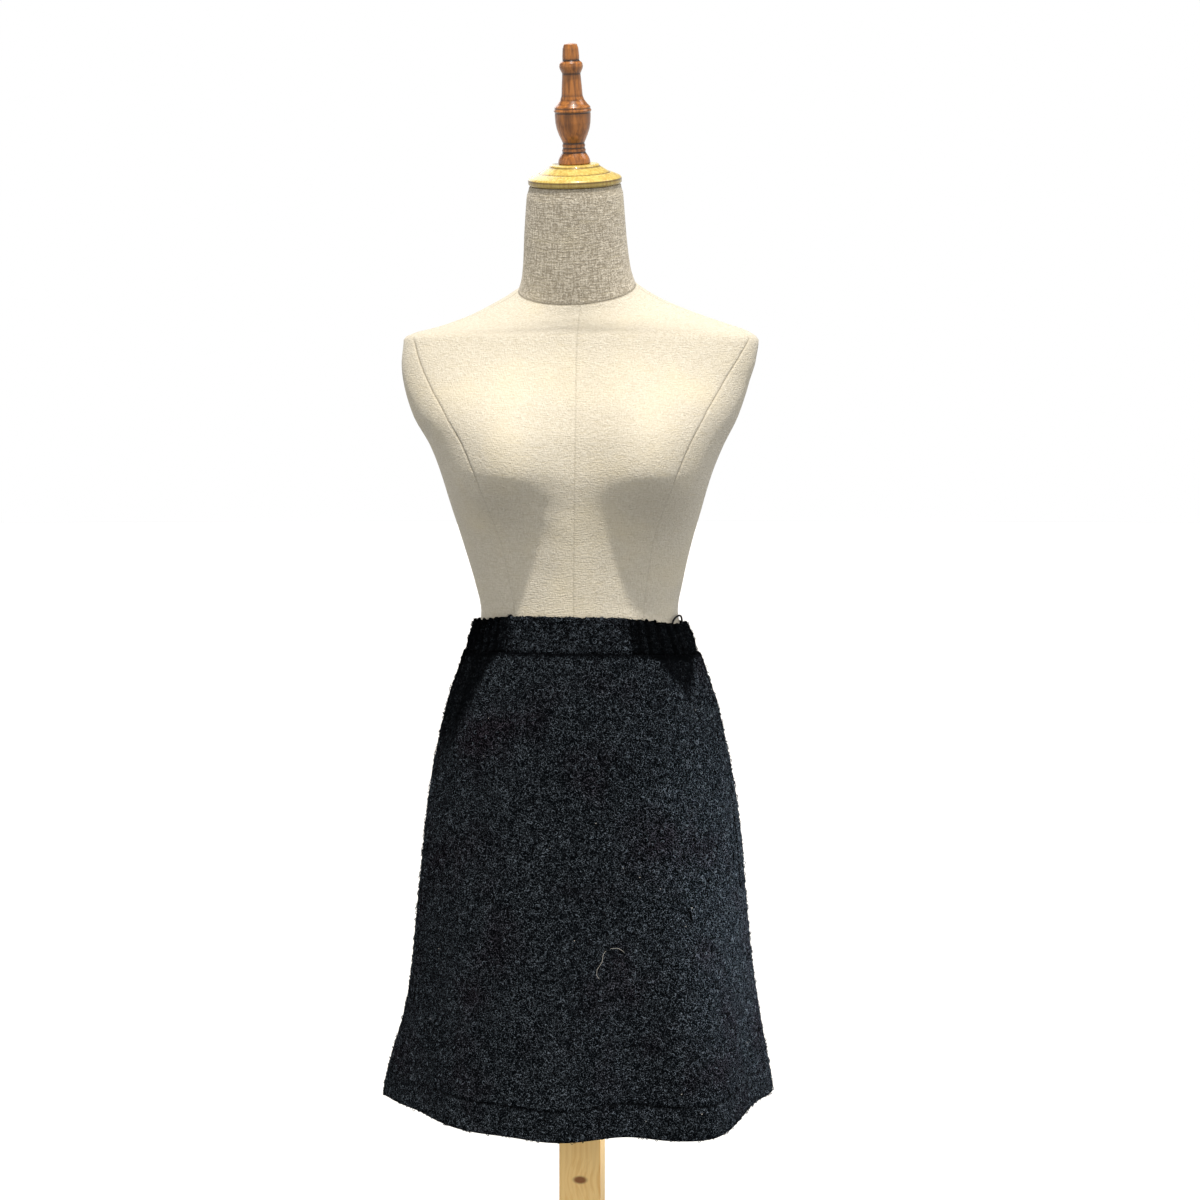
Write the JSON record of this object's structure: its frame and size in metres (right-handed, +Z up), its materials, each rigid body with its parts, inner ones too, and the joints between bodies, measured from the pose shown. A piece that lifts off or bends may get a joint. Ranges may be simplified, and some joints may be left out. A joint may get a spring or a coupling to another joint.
{
  "type": "a-line skirt on dress form",
  "caption": "Knee-length A-line skirt in black boucle wool with a flat-fronted elastic waistband, worn by a limbless linen dress form on a post stand.",
  "frame": {"origin": "centre of the base's flat underside, on the floor under the post", "axes": "+Z up along the post; the dress form's front faces -Y and its left side is +X"},
  "size_m": [0.4289, 0.38, 1.6615],
  "materials": {
    "boucle": "nubby black boucle wool with a few grey tips",
    "cord": "round black cord",
    "linen": "natural plain-weave linen, drawn tight",
    "varnished_wood": "turned, stained and gloss varnished",
    "pine": "planed and lightly oiled"
  },
  "bodies": {
    "root": {"skirt_front": "boucle", "skirt_back": "boucle", "waistband_front": "boucle", "waistband_back": "boucle", "hanger_loop": "cord", "dress_form": "linen", "neck_cap": "varnished_wood", "finial": "varnished_wood", "post": "pine", "stand_base": "pine"}
  },
  "joints": []
}
